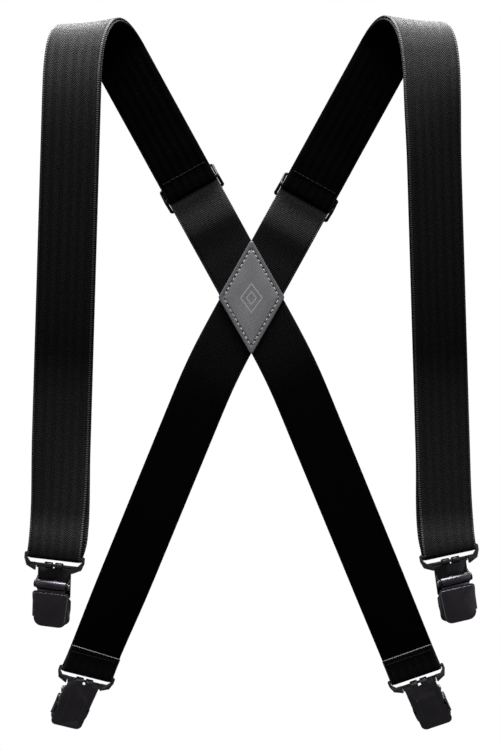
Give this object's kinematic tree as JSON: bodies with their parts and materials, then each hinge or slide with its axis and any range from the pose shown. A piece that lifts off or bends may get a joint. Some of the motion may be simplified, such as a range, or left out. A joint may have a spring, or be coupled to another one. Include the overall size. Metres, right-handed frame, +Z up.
{
  "type": "clip-on suspenders",
  "caption": "Clip-on suspenders with an X back: wide black elastic straps crossing at a stitched leather patch, sliding adjusters and hinged jaw clips on metal rings.",
  "frame": {"origin": "centre of the inner leather patch's face, the one that rests on the wearer's back", "axes": "+Z up the wearer, +Y towards the wearer's back (away from someone looking at the front), +X to the right as seen from the front"},
  "size_m": [0.3048, 0.1316, 0.5015],
  "materials": {
    "webbing": "woven elastic, fine herringbone rib, dull",
    "leather": "smooth grained leather, satin",
    "patch_thread": "waxed thread, light beige",
    "strap_thread": "polyester thread, black",
    "slide_metal": "satin black",
    "ring_metal": "satin black",
    "clip_metal": "satin gunmetal",
    "pin_steel": "drawn steel, darkened",
    "pad_rubber": "matt black"
  },
  "bodies": {
    "straps": {"left_webbing": "webbing", "right_webbing": "webbing", "inner_patch": "leather", "outer_patch": "leather", "patch_stitching": "patch_thread", "left_loop_stitching": "strap_thread", "right_loop_stitching": "strap_thread"},
    "left_adjuster": {"left_slide": "slide_metal", "left_sewn_end": "webbing", "left_end_stitching": "strap_thread"},
    "right_adjuster": {"right_slide": "slide_metal", "right_sewn_end": "webbing", "right_end_stitching": "strap_thread"},
    "front_left_ring": {"front_left_ring": "ring_metal"},
    "front_left_clip": {"front_left_back_plate": "clip_metal", "front_left_hinge_pin": "pin_steel", "front_left_back_pad": "pad_rubber"},
    "front_left_cover": {"front_left_cover": "clip_metal", "front_left_cover_pad": "pad_rubber"},
    "front_right_ring": {"front_right_ring": "ring_metal"},
    "front_right_clip": {"front_right_back_plate": "clip_metal", "front_right_hinge_pin": "pin_steel", "front_right_back_pad": "pad_rubber"},
    "front_right_cover": {"front_right_cover": "clip_metal", "front_right_cover_pad": "pad_rubber"},
    "back_left_ring": {"back_left_ring": "ring_metal"},
    "back_left_clip": {"back_left_back_plate": "clip_metal", "back_left_hinge_pin": "pin_steel", "back_left_back_pad": "pad_rubber"},
    "back_left_cover": {"back_left_cover": "clip_metal", "back_left_cover_pad": "pad_rubber"},
    "back_right_ring": {"back_right_ring": "ring_metal"},
    "back_right_clip": {"back_right_back_plate": "clip_metal", "back_right_hinge_pin": "pin_steel", "back_right_back_pad": "pad_rubber"},
    "back_right_cover": {"back_right_cover": "clip_metal", "back_right_cover_pad": "pad_rubber"}
  },
  "joints": [
    {"name": "left_adjuster_slide", "type": "slide", "parent": "straps", "child": "left_adjuster", "axis": [-0.4802, -0.1145, 0.8696], "range_m": [-0.02, 0.035], "deforming": ["left_sewn_end"]},
    {"name": "right_adjuster_slide", "type": "slide", "parent": "straps", "child": "right_adjuster", "axis": [0.4802, -0.1145, 0.8696], "range_m": [-0.02, 0.035], "deforming": ["right_sewn_end"]},
    {"name": "front_left_ring_swing", "type": "hinge", "parent": "straps", "child": "front_left_ring", "pos_m": [-0.1315, -0.06056, -0.17524], "axis": [-0.9622, 0.2588, 0.0843], "range_deg": [-45, 45]},
    {"name": "front_left_clip_swing", "type": "hinge", "parent": "front_left_ring", "child": "front_left_clip", "pos_m": [-0.13205, -0.06055, -0.18152], "axis": [-0.9622, 0.2588, 0.0843], "range_deg": [-41, 44]},
    {"name": "front_left_cover_open", "type": "hinge", "parent": "front_left_clip", "child": "front_left_cover", "pos_m": [-0.1334, -0.06141, -0.19435], "axis": [-0.9622, 0.2588, 0.0843], "range_deg": [0, 105]},
    {"name": "front_right_ring_swing", "type": "hinge", "parent": "straps", "child": "front_right_ring", "pos_m": [0.13163, -0.06216, -0.17181], "axis": [-0.9408, -0.2911, -0.1734], "range_deg": [-45, 45]},
    {"name": "front_right_clip_swing", "type": "hinge", "parent": "front_right_ring", "child": "front_right_clip", "pos_m": [0.13272, -0.06198, -0.17801], "axis": [-0.9408, -0.2911, -0.1734], "range_deg": [-45, 40]},
    {"name": "front_right_cover_open", "type": "hinge", "parent": "front_right_clip", "child": "front_right_cover", "pos_m": [0.13545, -0.06334, -0.19057], "axis": [-0.9408, -0.2911, -0.1734], "range_deg": [0, 105]},
    {"name": "back_left_ring_swing", "type": "hinge", "parent": "straps", "child": "back_left_ring", "pos_m": [-0.11799, 0.03828, -0.26845], "axis": [0.9068, 0.3146, -0.2805], "range_deg": [-45, 45]},
    {"name": "back_left_clip_swing", "type": "hinge", "parent": "back_left_ring", "child": "back_left_clip", "pos_m": [-0.12011, 0.03914, -0.27432], "axis": [0.9068, 0.3146, -0.2805], "range_deg": [-64, 21]},
    {"name": "back_left_cover_open", "type": "hinge", "parent": "back_left_clip", "child": "back_left_cover", "pos_m": [-0.12547, 0.04621, -0.28372], "axis": [0.9068, 0.3146, -0.2805], "range_deg": [0, 105]},
    {"name": "back_right_ring_swing", "type": "hinge", "parent": "straps", "child": "back_right_ring", "pos_m": [0.11785, 0.03665, -0.26872], "axis": [0.9229, -0.1685, 0.3463], "range_deg": [-45, 45]},
    {"name": "back_right_clip_swing", "type": "hinge", "parent": "back_right_ring", "child": "back_right_clip", "pos_m": [0.12016, 0.03743, -0.27453], "axis": [0.9229, -0.1685, 0.3463], "range_deg": [-67, 18]},
    {"name": "back_right_cover_open", "type": "hinge", "parent": "back_right_clip", "child": "back_right_cover", "pos_m": [0.12502, 0.04512, -0.28372], "axis": [0.9229, -0.1685, 0.3463], "range_deg": [0, 105]}
  ]
}
